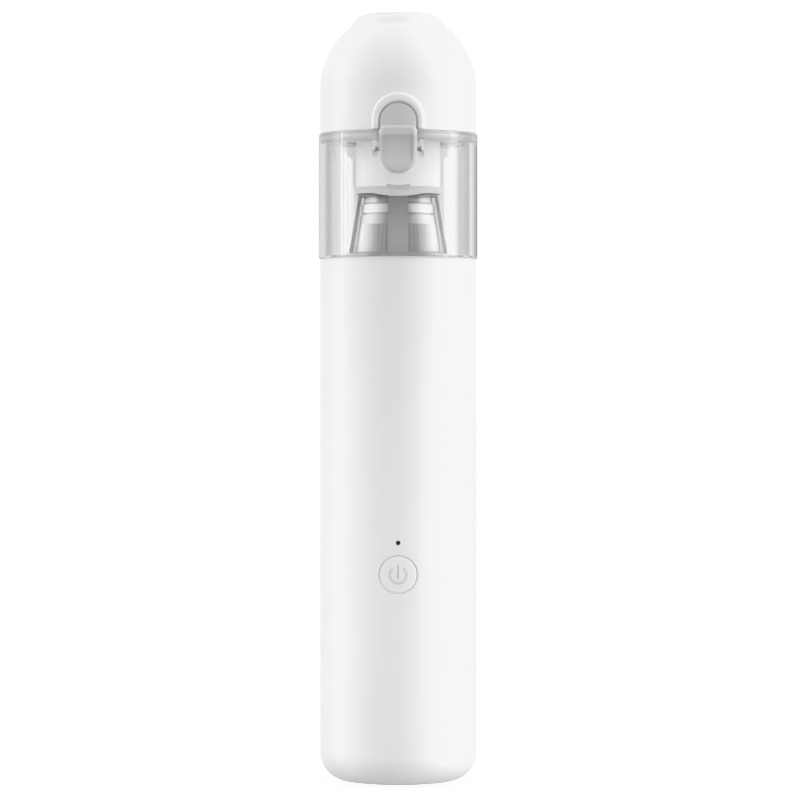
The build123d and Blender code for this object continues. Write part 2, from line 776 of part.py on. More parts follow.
# ===================================================================== dust cup
with BuildPart() as dust_cup:
    with BuildSketch(Plane.XZ):
        with BuildLine():
            Polyline(
                (NECK_IN, 174.2),
                (NECK_R, 174.2),
                (NECK_R, 176.9),
                (22.4, 176.9),
                (22.4, 178.5),
                (NECK_R, 178.5),
                (NECK_R, CUP_Z),
                (CUP_R, CUP_Z),
                (CUP_R, RIM_Z),
                (CUP_IN, RIM_Z),
                (CUP_IN, CUP_Z + LEDGE),
                (NECK_IN, CUP_Z + LEDGE),
                (NECK_IN, 174.2),
            )
        make_face()
    revolve(axis=Axis.Z)
    outer = dust_cup.edges().filter_by(GeomType.CIRCLE).filter_by(
        lambda e: abs(e.radius - CUP_R) < 0.01 and e.center().Z > RIM_Z - 1
    )
    fillet(outer, radius=0.35)
    # flat behind the rocker
    with BuildSketch(Plane.XZ.offset(26.8)):
        with BuildLine():
            Polyline((-7.2, RIM_Z + 2), (-7.2, 216.8), (-7.2, 215.8))
            ThreePointArc((-7.2, 215.8), (0, 208.6), (7.2, 215.8))
            Polyline((7.2, 215.8), (7.2, RIM_Z + 2), (-7.2, RIM_Z + 2))
        make_face()
    extrude(amount=6, mode=Mode.SUBTRACT)
    # two ears that hold the rocker's pin
    for side in (1, -1):
        with BuildSketch(Plane.YZ.offset(side * 7.35)):
            Polygon(
                (-24.8, RIM_Z - 0.1),
                (-29.4, RIM_Z - 0.1),
                (LATCH_Y - 1.85, LATCH_Z + 0.4),
                (LATCH_Y, LATCH_Z - 1.9),
                (-26.2, LATCH_Z - 2.6),
                (-25.6, LATCH_Z - 2.6),
            )
            with Locations((LATCH_Y, LATCH_Z)):
                Circle(1.9)
        extrude(amount=side * 1.5)
    with BuildSketch(Plane.YZ.offset(-8.05)):
        with Locations((LATCH_Y, LATCH_Z)):
            Circle(LATCH_PIN_R)
    extrude(amount=16.1, mode=Mode.SUBTRACT)
    # middle knuckle of the lid hinge, on a gusset
    with BuildSketch(Plane.YZ.offset(-4.2)):
        Polygon(
            (25.6, RIM_Z - 0.05),
            (HINGE_Y, RIM_Z - 0.05),
            (HINGE_Y + 2.0, HINGE_Z - 0.7),
            (27.4, 217.2),
            (25.6, 217.2),
        )
        with Locations((HINGE_Y, HINGE_Z)):
            Circle(KNUCKLE_R)
    extrude(amount=8.4)
    with BuildSketch(Plane.YZ.offset(-6)):
        with Locations((HINGE_Y, HINGE_Z)):
            Circle(HINGE_PIN_R)
    extrude(amount=12, mode=Mode.SUBTRACT)
    # clearance for the lid's outer knuckles
    for side in (1, -1):
        with BuildSketch(Plane.YZ.offset(side * 4.2)):
            with Locations((HINGE_Y, HINGE_Z)):
                Circle(KNUCKLE_R + 0.35)
        extrude(amount=side * 5.6, mode=Mode.SUBTRACT)
dust_cup.part.label = "dust_cup"
export_step(dust_cup.part, "parts/dust_cup.step")

with BuildPart() as cup_seal:
    with BuildSketch(Plane.XZ):
        with Locations((22.93, 177.7)):
            Circle(0.5)
    revolve(axis=Axis.Z)
cup_seal.part.label = "cup_seal"
export_step(cup_seal.part, "parts/cup_seal.step")

with BuildPart() as hinge_pin:
    with BuildSketch(Plane.YZ.offset(-9.2)):
        with Locations((HINGE_Y, HINGE_Z)):
            Circle(HINGE_PIN_R)
    extrude(amount=18.4)
    chamfer(hinge_pin.edges().filter_by(GeomType.CIRCLE), length=0.25)
hinge_pin.part.label = "hinge_pin"
export_step(hinge_pin.part, "parts/hinge_pin.step")

with BuildPart() as latch_pin:
    with BuildSketch(Plane.YZ.offset(-8.0)):
        with Locations((LATCH_Y, LATCH_Z)):
            Circle(LATCH_PIN_R)
    extrude(amount=16.0)
    chamfer(latch_pin.edges().filter_by(GeomType.CIRCLE), length=0.2)
latch_pin.part.label = "latch_pin"
export_step(latch_pin.part, "parts/latch_pin.step")

# ================================================================= latch rocker
with BuildPart() as latch_lever:
    # upper half, curved with the lid
    with BuildSketch(Plane.XY.offset(225.95)):
        Circle(28.3)
    extrude(amount=11)
    with BuildSketch(Plane.XZ.offset(26.35)):
        with Locations((0, LEVER_C)):
            Circle(LEVER_HALF)
        with Locations((0, (LEVER_C + 225.0) / 2)):
            Rectangle(2 * LEVER_HALF, LEVER_C - 225.0)
    extrude(amount=6, mode=Mode.INTERSECT)
    front = latch_lever.faces().sort_by(Axis.Y)[0]
    fillet(front.edges().filter_by(lambda e: e.bounding_box().max.Z > 226.5), radius=0.75)
    # finger pad
    with BuildSketch(Plane.XZ.offset(27.3)):
        with BuildLine():
            Line((-6.5, 217.0), (-6.5, 224.7))
            ThreePointArc(
                (-6.5, 224.7),
                (-6.5 + PAD_CORNER * (1 - S45), 224.7 + PAD_CORNER * S45),
                (-6.5 + PAD_CORNER, 224.7 + PAD_CORNER),
            )
            Line((-6.5 + PAD_CORNER, 224.7 + PAD_CORNER), (6.5 - PAD_CORNER, 224.7 + PAD_CORNER))
            ThreePointArc(
                (6.5 - PAD_CORNER, 224.7 + PAD_CORNER),
                (6.5 - PAD_CORNER * (1 - S45), 224.7 + PAD_CORNER * S45),
                (6.5, 224.7),
            )
            Line((6.5, 224.7), (6.5, 217.0))
            ThreePointArc((6.5, 217.0), (0, 210.5), (-6.5, 217.0))
        make_face()
    extrude(amount=-PAD_FACE - 27.3)
    pad_front = latch_lever.faces().sort_by(Axis.Y)[0]
    fillet(pad_front.edges(), radius=1.4)
    # shallow finger dish
    with BuildSketch(Plane.YZ):
        with BuildLine():
            Spline(
                (PAD_FACE, 223.9),
                (PAD_FACE + 0.32, 223.2),
                (PAD_FACE + 0.52, 222.0),
                (PAD_FACE + 0.55, 219.2),
                (PAD_FACE + 0.35, 215.8),
                (PAD_FACE, 213.2),
            )
            Polyline((PAD_FACE, 213.2), (PAD_FACE - 2, 213.2), (PAD_FACE - 2, 223.9), (PAD_FACE, 223.9))
        make_face()
    extrude(amount=4.9, both=True, mode=Mode.SUBTRACT)
    # back of the pad slopes away from the cup so that it can be pressed
    with BuildSketch(Plane.YZ):
        Polygon((-27.2, 221.0), (-27.2, 209.0), (-28.75, 209.0))
    extrude(amount=10, both=True, mode=Mode.SUBTRACT)
    # nose that meets the lid's catch
    with BuildSketch(Plane.YZ):
        Polygon((-26.6, 230.9), (-26.08, 231.5), (-26.08, 232.4), (-26.6, 233.2))
    extrude(amount=3.4, both=True)
    # pin hole and the pocket of the spring
    with BuildSketch(Plane.YZ):
        with Locations((LATCH_Y, LATCH_Z)):
            Circle(LATCH_PIN_R + 0.06)
    extrude(amount=10, both=True, mode=Mode.SUBTRACT)
    with BuildSketch(Plane.XZ.offset(27.0)):
        with Locations((0, SPRING_Z)):
            Circle(1.95)
    extrude(amount=2.75, mode=Mode.SUBTRACT)
latch_lever.part.label = "latch_lever"
export_step(latch_lever.part, "parts/latch_lever.step")

with BuildPart() as latch_spring:
    with BuildLine() as coil:
        Helix(
            pitch=0.74,
            height=2.22,
            radius=1.35,
            center=(0, -27.2, SPRING_Z),
            direction=(0, -1, 0),
        )
    with BuildSketch(Plane(origin=coil.line @ 0, z_dir=coil.line % 0)):
        Circle(0.22)
    sweep(path=coil.line, is_frenet=True)
latch_spring.part.label = "latch_spring"
export_step(latch_spring.part, "parts/latch_spring.step")

# =================================================================== nozzle lid
# raised frame round the rocker, before it joins the dome
with BuildPart() as latch_frame:
    with BuildSketch(Plane.XY.offset(DOME_Z)):
        Circle(28.75)
    extrude(amount=14)
    with BuildSketch(Plane.XZ.offset(24.4)):
        with Locations((0, FRAME_C)):
            Circle(FRAME_R)
        with Locations((0, (FRAME_C + DOME_Z - 1) / 2)):
            Rectangle(2 * FRAME_R, FRAME_C - DOME_Z + 1)
    extrude(amount=8, mode=Mode.INTERSECT)
    with BuildSketch(Plane.XZ.offset(25.95)):
        with Locations((0, LEVER_C)):
            Circle(RECESS_R)
        with Locations((0, (LEVER_C + DOME_Z - 3) / 2)):
            Rectangle(2 * RECESS_R, LEVER_C - DOME_Z + 3)
    extrude(amount=8, mode=Mode.SUBTRACT)
    frame_front = latch_frame.faces().filter_by(lambda f: f.bounding_box().min.Y < -28.5).sort_by(Axis.Y)[0]
    rims = frame_front.edges().filter_by(lambda e: e.bounding_box().max.Z > DOME_Z + 0.5)
    fillet(rims, radius=1.05)

# hollow of the dome, less the thick wall behind the catch and the screw bosses
with BuildPart() as dome_hollow:
    with BuildSketch(Plane.XZ):
        with BuildLine():
            sleeve_top = DOME_C + math.sqrt(DOME_IN**2 - 14.0**2)
            mid = math.radians(28)
            Polyline((0, DOME_Z - 1), (DOME_IN, DOME_Z - 1), (DOME_IN, DOME_C))
            ThreePointArc(
                (DOME_IN, DOME_C),
                (DOME_IN * math.cos(mid), DOME_C + DOME_IN * math.sin(mid)),
                (14.0, sleeve_top),
            )
            Polyline(
                (14.0, sleeve_top),
                (14.0, 255.5),
                (LINER_R + 0.1, 255.5),
                (LINER_R + 0.1, 270.0),
                (0, 270.0),
                (0, DOME_Z - 1),
            )
        make_face()
    revolve(axis=Axis.Z)
    with BuildSketch(Plane.XZ.offset(24.3)):
        with Locations((0, 232.0)):
            Rectangle(13.0, 15.0)
    extrude(amount=4, mode=Mode.SUBTRACT)
    with BuildSketch(Plane.XY.offset(DOME_Z)):
        with PolarLocations(20.0, 4, start_angle=45):
            Circle(2.4)
    extrude(amount=30, mode=Mode.SUBTRACT)

with BuildPart() as nozzle_dome:
    with BuildSketch(Plane.XZ):
        with BuildLine():
            cut_r = 16.6
            cut_z = DOME_C + math.sqrt(BODY_R**2 - cut_r**2)
            mid = math.radians(26)
            Polyline((0, DOME_Z), (BODY_R, DOME_Z), (BODY_R, DOME_C))
            ThreePointArc(
                (BODY_R, DOME_C),
                (BODY_R * math.cos(mid), DOME_C + BODY_R * math.sin(mid)),
                (cut_r, cut_z),
            )
            Spline(
                (cut_r, cut_z),
                (15.75, 264.05),
                (14.75, 265.6),
                (LINER_R + 0.2, COLLAR_TOP),
                tangents=[(-(cut_z - DOME_C), cut_r), (-1.0, 0.05)],
            )
            Polyline((LINER_R + 0.2, COLLAR_TOP), (0, COLLAR_TOP), (0, DOME_Z))
        make_face()
    revolve(axis=Axis.Z)
    add(latch_frame.part)
    add(dome_hollow.part, mode=Mode.SUBTRACT)
    # recess of the rocker, open below
    with BuildSketch(Plane.XZ.offset(25.95)):
        with Locations((0, LEVER_C)):
            Circle(RECESS_R)
        with Locations((0, (LEVER_C + DOME_Z - 3) / 2)):
            Rectangle(2 * RECESS_R, LEVER_C - DOME_Z + 3)
    extrude(amount=8, mode=Mode.SUBTRACT)
    # catch in its floor
    with BuildSketch(Plane.XZ.offset(25.3)):
        with Locations((0, 231.95)):
            Rectangle(8.0, 2.6)
    extrude(amount=1.0, mode=Mode.SUBTRACT)
    # pilot holes of the liner's screws
    with BuildSketch(Plane.XY.offset(DOME_Z - 1)):
        with PolarLocations(20.0, 4, start_angle=45):
            Circle(1.0)
    extrude(amount=7.5, mode=Mode.SUBTRACT)
    # outer knuckles of the hinge
    for side in (1, -1):
        with BuildSketch(Plane.YZ.offset(side * 4.55)):
            Polygon(
                (24.9, DOME_Z + 0.05),
                (HINGE_Y, DOME_Z + 0.05),
                (HINGE_Y + 2.0, HINGE_Z + 0.65),
                (26.3, 234.5),
                (24.9, 234.5),
            )
            with Locations((HINGE_Y, HINGE_Z)):
                Circle(KNUCKLE_R)
        extrude(amount=side * 4.65)
    with BuildSketch(Plane.YZ.offset(-12)):
        with Locations((HINGE_Y, HINGE_Z)):
            Circle(HINGE_PIN_R + 0.06)
    extrude(amount=24, mode=Mode.SUBTRACT)
nozzle_dome.part.label = "nozzle_dome"
export_step(nozzle_dome.part, "parts/nozzle_dome.step")

# wavy lip at the liner's lower end
with BuildPart() as duct_lip:
    with BuildSketch(Plane.XZ):
        Polygon((14.3, 203.2), (LIP_R - 0.92, 203.2), (LIP_R, 206.9), (LIP_R, 208.4), (14.3, 208.4))
    revolve(axis=Axis.Z)
    with BuildSketch(Plane.XZ):
        with BuildLine():
            Spline(
                (-18, 204.6), (-12, 204.6), (-8.5, 204.4), (-4.5, 203.7), (0, 203.4),
                (4.5, 203.7), (8.5, 204.4), (12, 204.6), (18, 204.6),
            )
            Polyline((18, 204.6), (18, 200), (-18, 200), (-18, 204.6))
        make_face()
    extrude(amount=20, mode=Mode.SUBTRACT)
    with BuildSketch(Plane.XZ):
        with BuildLine():
            Spline(
                (-18, 206.9), (-12, 206.9), (-8.5, 206.7), (-4.5, 205.7), (0, 205.2),
                (4.5, 205.7), (8.5, 206.7), (12, 206.9), (18, 206.9),
            )
            Polyline((18, 206.9), (18, 212), (-18, 212), (-18, 206.9))
        make_face()
    extrude(amount=20, mode=Mode.SUBTRACT)
    with BuildSketch(Plane.XZ):
        with Locations((0, 202.3)):
            Rectangle(40, 4.6)
        with Locations((0, 209.4)):
            Rectangle(40, 5.0)
    extrude(amount=-20, mode=Mode.SUBTRACT)

with BuildPart() as inlet_duct:
    with BuildSketch(Plane.XZ):
        Polygon(
            (LINER_R, MOUTH_TOP),
            (LINER_R, 255.0),
            (DUCT_R, 246.0),
            (DUCT_R, 227.3),
            (16.6, 227.3),
            (16.6, DOME_Z + 0.05),
            (DUCT_R, DOME_Z + 0.05),
            (DUCT_R, 204.9),
            (14.3, 204.9),
            (14.3, 205.2),
            (12.6, 205.2),
            (12.6, 206.8),
            (0, 206.8),
            (0, 208.4),
            (DUCT_IN, 208.4),
            (DUCT_IN, 246.0),
            (MOUTH_R, 255.0),
            (MOUTH_R, MOUTH_TOP),
        )
    revolve(axis=Axis.Z)
    mouth_edges = inlet_duct.edges().filter_by(GeomType.CIRCLE).group_by(Axis.Z)[-1]
    fillet(mouth_edges, radius=0.6)
    # the wall's front follows the lip's wave
    with BuildSketch(Plane.XY.offset(204.0)):
        Circle(14.2)
    extrude(amount=1.2, mode=Mode.SUBTRACT)
    add(duct_lip.part)
    # outlet window in the back, behind the flap
    with BuildSketch(Plane.XZ.offset(-10)):
        with Locations((0, 214.6)):
            RectangleRounded(15.0, 9.4, 2.0)
    extrude(amount=-8, mode=Mode.SUBTRACT)
    # curved slot in the front, over the lip
    with BuildSketch(Plane.XZ.offset(13.7)):
        with BuildLine():
            ThreePointArc((-4.2, 206.5), (0, 205.65), (4.2, 206.5))
            Line((4.2, 206.5), (3.9, 207.75))
            ThreePointArc((3.9, 207.75), (0, 207.15), (-3.9, 207.75))
            Line((-3.9, 207.75), (-4.2, 206.5))
        make_face()
    extrude(amount=3, mode=Mode.SUBTRACT)
inlet_duct.part.label = "inlet_duct"
export_step(inlet_duct.part, "parts/inlet_duct.step")

# plate that holds the duct's flange up against the lid, with the flap's lugs
with BuildPart() as lid_plate:
    with BuildSketch(Plane.XY.offset(223.6)):
        Circle(22.9)
        Circle(DUCT_R + 0.06, mode=Mode.SUBTRACT)
    extrude(amount=2.2)
    # lugs that carry the flap
    for side in (1, -1):
        with BuildSketch(Plane.YZ.offset(side * 9.0)):
            Polygon((14.2, 223.8), (17.6, 223.8), (17.6, 221.2), (16.6, 220.3), (15.4, 220.3), (14.2, 221.2))
            with Locations((16.0, 221.6)):
                Circle(0.68, mode=Mode.SUBTRACT)
        extrude(amount=side * 1.4)
    with BuildSketch(Plane.XY.offset(222.0)):
        with PolarLocations(20.0, 4, start_angle=45):
            Circle(1.1)
    extrude(amount=5.0, mode=Mode.SUBTRACT)
lid_plate.part.label = "lid_plate"
export_step(lid_plate.part, "parts/lid_plate.step")

with BuildPart() as lid_gasket:
    with BuildSketch(Plane.XZ):
        Polygon((22.95, 225.4), (24.6, 225.4), (24.6, 222.5), (23.3, 222.5), (22.95, 222.9))
    revolve(axis=Axis.Z)
    rims = lid_gasket.edges().filter_by(GeomType.CIRCLE).filter_by(lambda e: abs(e.radius - 24.6) < 0.01)
    fillet(rims, radius=0.4)
lid_gasket.part.label = "lid_gasket"
export_step(lid_gasket.part, "parts/lid_gasket.step")

with BuildPart() as lid_screws:
    with Locations((0, 0, 222.5)):
        with PolarLocations(20.0, 4, start_angle=45):
            Cylinder(0.95, 9.0, align=(Align.CENTER, Align.CENTER, Align.MIN))
            Cylinder(1.75, 1.08, align=(Align.CENTER, Align.CENTER, Align.MIN))
            Box(1.9, 0.45, 1.0, mode=Mode.SUBTRACT)
            Box(0.45, 1.9, 1.0, mode=Mode.SUBTRACT)
lid_screws.part.label = "lid_screws"
export_step(lid_screws.part, "parts/lid_screws.step")

with BuildPart() as inlet_flap:
    with BuildSketch(Plane.XY.offset(209.0)):
        Circle(15.75)
        Circle(15.05, mode=Mode.SUBTRACT)
    extrude(amount=11.6)
    with BuildSketch(Plane.XZ.offset(-10)):
        with Locations((0, 214.8)):
            RectangleRounded(17.4, 11.6, 2.4)
    extrude(amount=-8, mode=Mode.INTERSECT)
    with BuildSketch(Plane.XZ.offset(-15.1)):
        with Locations((0, 220.6)):
            Rectangle(7.0, 2.0)
    extrude(amount=-1.2)
    with BuildSketch(Plane.YZ.offset(-8.6)):
        with Locations((16.0, 221.6)):
            Circle(0.85)
    extrude(amount=17.2)
    with BuildSketch(Plane.YZ.offset(-10.3)):
        with Locations((16.0, 221.6)):
            Circle(0.6)
    extrude(amount=20.6)
inlet_flap.part.label = "inlet_flap"
export_step(inlet_flap.part, "parts/inlet_flap.step")
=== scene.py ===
import math

import bmesh
import bpy
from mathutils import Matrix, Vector


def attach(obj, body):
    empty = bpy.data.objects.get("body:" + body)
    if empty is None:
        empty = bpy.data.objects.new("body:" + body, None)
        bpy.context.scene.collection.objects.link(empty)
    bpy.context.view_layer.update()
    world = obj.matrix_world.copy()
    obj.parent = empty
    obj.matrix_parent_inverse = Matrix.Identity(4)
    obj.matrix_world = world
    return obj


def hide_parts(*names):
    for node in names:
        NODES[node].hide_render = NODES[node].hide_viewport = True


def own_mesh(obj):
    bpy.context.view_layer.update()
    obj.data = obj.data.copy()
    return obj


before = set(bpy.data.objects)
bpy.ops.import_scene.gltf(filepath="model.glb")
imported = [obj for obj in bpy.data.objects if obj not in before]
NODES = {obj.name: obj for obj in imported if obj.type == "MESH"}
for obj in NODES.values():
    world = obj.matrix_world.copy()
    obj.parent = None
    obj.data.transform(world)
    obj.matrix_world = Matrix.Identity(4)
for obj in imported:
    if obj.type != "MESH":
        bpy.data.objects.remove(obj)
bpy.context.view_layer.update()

SCENE = bpy.context.scene
MM = 0.001


# ------------------------------------------------------------------ node helpers
class Graph:
    """A material's node tree, with short calls for the nodes used here."""

    def __init__(self, name):
        self.mat = bpy.data.materials.new(name)
        self.mat.use_nodes = True
        self.tree = self.mat.node_tree
        self.tree.nodes.clear()
        self.out = self.tree.nodes.new("ShaderNodeOutputMaterial")
        self.bsdf = self.tree.nodes.new("ShaderNodeBsdfPrincipled")
        self.tree.links.new(self.bsdf.outputs["BSDF"], self.out.inputs["Surface"])
        self.coord = self.tree.nodes.new("ShaderNodeTexCoord").outputs["Object"]

    def set(self, **values):
        for key, value in values.items():
            self.bsdf.inputs[key.replace("_", " ")].default_value = value

    def link(self, a, b):
        self.tree.links.new(a, b)

    def node(self, kind, **values):
        n = self.tree.nodes.new(kind)
        for key, value in values.items():
            setattr(n, key, value)
        return n

    def stretch(self, x, y, z):
        m = self.node("ShaderNodeMapping")
        m.inputs["Scale"].default_value = (x, y, z)
        self.link(self.coord, m.inputs["Vector"])
        return m.outputs["Vector"]

    def noise(self, scale, detail=3.0, rough=0.55, where=None):
        n = self.node("ShaderNodeTexNoise")
        n.inputs["Scale"].default_value = scale
        n.inputs["Detail"].default_value = detail
        n.inputs["Roughness"].default_value = rough
        self.link(where or self.coord, n.inputs["Vector"])
        return n.outputs["Fac"]

    def cells(self, scale, where=None, feature="F1"):
        n = self.node("ShaderNodeTexVoronoi", feature=feature)
        n.inputs["Scale"].default_value = scale
        self.link(where or self.coord, n.inputs["Vector"])
        return n.outputs["Distance"]

    def wave(self, scale, direction="Z", where=None, distort=0.0):
        n = self.node("ShaderNodeTexWave", wave_type="BANDS", bands_direction=direction)
        n.inputs["Scale"].default_value = scale
        n.inputs["Distortion"].default_value = distort
        self.link(where or self.coord, n.inputs["Vector"])
        return n.outputs["Fac"]

    def axis(self, which):
        n = self.node("ShaderNodeSeparateXYZ")
        self.link(self.coord, n.inputs["Vector"])
        return n.outputs[which]

    def math(self, op, a, b=None, c=None):
        n = self.node("ShaderNodeMath", operation=op)
        for i, v in enumerate((a, b, c)):
            if v is None:
                continue
            if isinstance(v, (int, float)):
                n.inputs[i].default_value = v
            else:
                self.link(v, n.inputs[i])
        return n.outputs[0]

    def ramp(self, value, a, b, lo, hi, smooth=True):
        n = self.node("ShaderNodeMapRange", interpolation_type="SMOOTHSTEP" if smooth else "LINEAR")
        self.link(value, n.inputs["Value"])
        for key, v in (("From Min", a), ("From Max", b), ("To Min", lo), ("To Max", hi)):
            n.inputs[key].default_value = v
        return n.outputs["Result"]

    def mix(self, factor, a, b):
        n = self.node("ShaderNodeMix", data_type="RGBA")
        self.link(factor, n.inputs["Factor"])
        for key, v in (("A", a), ("B", b)):
            socket = [s for s in n.inputs if s.name == key and s.type == "RGBA"][0]
            if isinstance(v, (tuple, list)):
                socket.default_value = (*v[:3], 1.0)
            else:
                self.link(v, socket)
        return [s for s in n.outputs if s.type == "RGBA"][0]

    def bump(self, height, strength, depth_mm, base=None):
        n = self.node("ShaderNodeBump")
        n.inputs["Strength"].default_value = strength
        n.inputs["Distance"].default_value = depth_mm * MM
        self.link(height, n.inputs["Height"])
        if base is not None:
            self.link(base, n.inputs["Normal"])
        return n.outputs["Normal"]

    def colour(self, socket):
        self.link(socket, self.bsdf.inputs["Base Color"])

    def rough(self, socket):
        self.link(socket, self.bsdf.inputs["Roughness"])

    def normal(self, socket):
        self.link(socket, self.bsdf.inputs["Normal"])


def tone(v, lift=0.0):
    """A neutral grey, with a little warmth or coolness."""
    return (v + lift, v, v - lift)


# ---------------------------------------------------------------------- materials
def moulded(name, dark, light, rough_lo, rough_hi, grain_mm=0.11, depth_mm=0.004, ior=1.49, cloud=38.0):
    """Injection moulded plastic: slow colour cloud, spark-eroded grain, uneven gloss."""
    g = Graph(name)
    slow = g.noise(cloud, 4.0)
    fine = g.noise(1.0 / (grain_mm * MM), 2.0, 0.6)
    blend = g.math("ADD", g.math("MULTIPLY", slow, 0.75), g.math("MULTIPLY", fine, 0.25))
    g.colour(g.mix(g.ramp(blend, 0.3, 0.7, 0.0, 1.0), dark, light))
    g.rough(g.ramp(g.noise(cloud * 3.1, 5.0), 0.25, 0.75, rough_lo, rough_hi))
    g.normal(g.bump(fine, 0.35, depth_mm))
    g.set(IOR=ior)
    return g


def make_white_shell():
    g = moulded("white_shell_plastic", tone(0.835), tone(0.86), 0.36, 0.44)
    return g.mat


def make_white_liner():
    g = moulded("white_liner_plastic", tone(0.74), tone(0.77), 0.34, 0.44, grain_mm=0.3, depth_mm=0.002)
    return g.mat


def make_duct():
    """White liner whose flared lip and slot are painted greyer: painted shade where the lip faces down and in the
    slot's groove.
    """
    g = moulded("white_duct_plastic", tone(0.74), tone(0.77), 0.34, 0.44, grain_mm=0.3, depth_mm=0.002)
    across = g.math("SQRT", g.math("ADD", g.math("POWER", g.axis("X"), 2.0), g.math("POWER", g.axis("Y"), 2.0)))
    # painted shade: the downward-facing lip and the slot's groove are painted a darker grey
    lip = g.math("MULTIPLY", g.ramp(across, 0.0142, 0.0144, 0.0, 1.0), g.ramp(g.axis("Z"), 0.2066, 0.2071, 1.0, 0.0))
    slot = g.math("MULTIPLY", g.ramp(across, 0.01415, 0.0143, 1.0, 0.0), g.ramp(g.axis("Z"), 0.2078, 0.2081, 1.0, 0.0))
    slow = g.ramp(g.noise(60.0, 4.0), 0.3, 0.7, 0.0, 1.0)
    grey = g.math("MAXIMUM", lip, slot)
    g.colour(g.mix(grey, g.mix(slow, tone(0.74), tone(0.77)), g.mix(slow, tone(0.53), tone(0.57))))
    return g.mat


def make_clear_cup():
    """Clear moulding with faint flow marks."""
    g = Graph("clear_cup_plastic")
    flow = g.noise(26.0, 3.0, where=g.stretch(1.0, 1.0, 0.35))
    haze = g.noise(900.0, 3.0)
    clear = g.mix(g.ramp(flow, 0.3, 0.7, 0.0, 1.0), (0.955, 0.957, 0.958), (0.972, 0.973, 0.974))
    g.colour(clear)
    g.rough(g.ramp(haze, 0.3, 0.75, 0.0, 0.012))
    g.set(Transmission_Weight=1.0, IOR=1.5)
    return g.mat


def make_latch_grey():
    """Grey rocker plastic, with the pad's face drawn in a little more under its upper edge."""
    g = moulded("latch_grey_plastic", tone(0.59, 0.001), tone(0.615, 0.001), 0.38, 0.48, grain_mm=0.14, depth_mm=0.005)
    up = g.math("MULTIPLY", g.math("SUBTRACT", g.axis("Z"), 0.2155), 1000.0)
    up = g.math("MINIMUM", g.math("MAXIMUM", up, 0.0), 7.9)
    g.normal(g.bump(g.math("MULTIPLY", g.math("MULTIPLY", up, up), 0.027), 1.0, 1.0, base=g.bsdf.inputs["Normal"].links[0].from_socket))
    return g.mat


def make_gasket():
    """Grey sealing face on a paler carrier; the face is slightly barrelled."""
    g = Graph("gasket_silicone")
    slow = g.noise(120.0, 4.0)
    across = g.math("SQRT", g.math("ADD", g.math("POWER", g.axis("X"), 2.0), g.math("POWER", g.axis("Y"), 2.0)))
    face = g.math("MULTIPLY", g.ramp(across, 0.02452, 0.02462, 0.0, 1.0), g.ramp(g.axis("Z"), 0.2246, 0.2250, 1.0, 0.0))
    grey = g.mix(g.ramp(slow, 0.3, 0.7, 0.0, 1.0), tone(0.62), tone(0.67))
    pale = g.mix(g.ramp(slow, 0.3, 0.7, 0.0, 1.0), tone(0.74), tone(0.78))
    g.colour(g.mix(face, pale, grey))
    g.rough(g.ramp(g.noise(500.0), 0.3, 0.7, 0.05, 0.08))
    g.set(IOR=1.7)
    off = g.math("MINIMUM", g.math("MULTIPLY", g.math("SUBTRACT", g.axis("Z"), 0.2238), 1000.0), 0.7)
    barrel = g.math("MULTIPLY", g.math("MULTIPLY", off, off), g.math("MULTIPLY", face, -0.16))
    g.normal(g.bump(barrel, 1.0, 1.0))
    return g.mat


def make_silicone():
    g = Graph("flap_silicone")
    slow = g.noise(160.0, 4.0)
    g.colour(g.mix(g.ramp(slow, 0.3, 0.7, 0.0, 1.0), tone(0.33), tone(0.39)))
    g.rough(g.ramp(g.noise(700.0), 0.3, 0.7, 0.42, 0.56))
    g.normal(g.bump(g.noise(3200.0, 2.0), 0.4, 0.006))
    return g.mat


def make_cage():
    """Grey cage with painted shade: darker toward its top plate, where the duct's lip shades it."""
    g = Graph("cage_grey_satin")
    slow = g.ramp(g.noise(60.0, 3.0, where=g.stretch(1.0, 1.0, 0.25)), 0.3, 0.7, 0.0, 1.0)
    # painted shade under the duct's lip: the colour darkens toward the top
    top = g.ramp(g.axis("Z"), 0.1905, 0.2030, 0.0, 1.0, smooth=False)
    g.colour(g.mix(top, g.mix(slow, tone(0.27), tone(0.30)), g.mix(slow, tone(0.155), tone(0.175))))
    g.rough(g.ramp(g.noise(420.0), 0.3, 0.7, 0.28, 0.36))
    g.normal(g.bump(g.noise(5000.0, 2.0), 0.15, 0.002))
    return g.mat


def make_boss():
    """Cage plastic with painted shade: dark in the middle under the lip, pale toward the sides."""
    g = Graph("cage_boss_satin")
    slow = g.ramp(g.noise(60.0, 3.0), 0.3, 0.7, 0.0, 1.0)
    # painted shade: dark in the middle under the lip, pale toward the sides
    out = g.ramp(g.math("ABSOLUTE", g.axis("X"), 0.0), 0.0060, 0.0085, 0.0, 1.0)
    g.colour(g.mix(out, g.mix(slow, tone(0.22), tone(0.25)), g.mix(slow, tone(0.74), tone(0.78))))
    g.rough(g.ramp(g.noise(420.0), 0.3, 0.7, 0.28, 0.36))
    return g.mat


def make_media():
    """Fine pleated filter paper with painted shade and light: grey in the middle behind the strut, white toward the
    sides.
    """
    g = Graph("filter_paper")
    # painted shade in the middle behind the strut, painted light toward the sides
    side = g.ramp(g.math("ABSOLUTE", g.axis("X"), 0.0), 0.0058, 0.0132, 0.0, 1.0)
    slow = g.noise(420.0, 4.0, where=g.stretch(1.0, 1.0, 0.06))
    fine = g.noise(1900.0, 2.0, where=g.stretch(1.0, 1.0, 0.05))
    paper = g.mix(g.ramp(slow, 0.3, 0.7, 0.0, 1.0), tone(0.24), tone(0.28))
    white = g.mix(g.ramp(slow, 0.3, 0.7, 0.0, 1.0), tone(0.80), tone(0.84))
    g.colour(g.mix(side, paper, white))
    g.rough(g.ramp(fine, 0.2, 0.75, 0.46, 0.56))
    g.normal(g.bump(fine, 0.25, 0.006))
    return g.mat


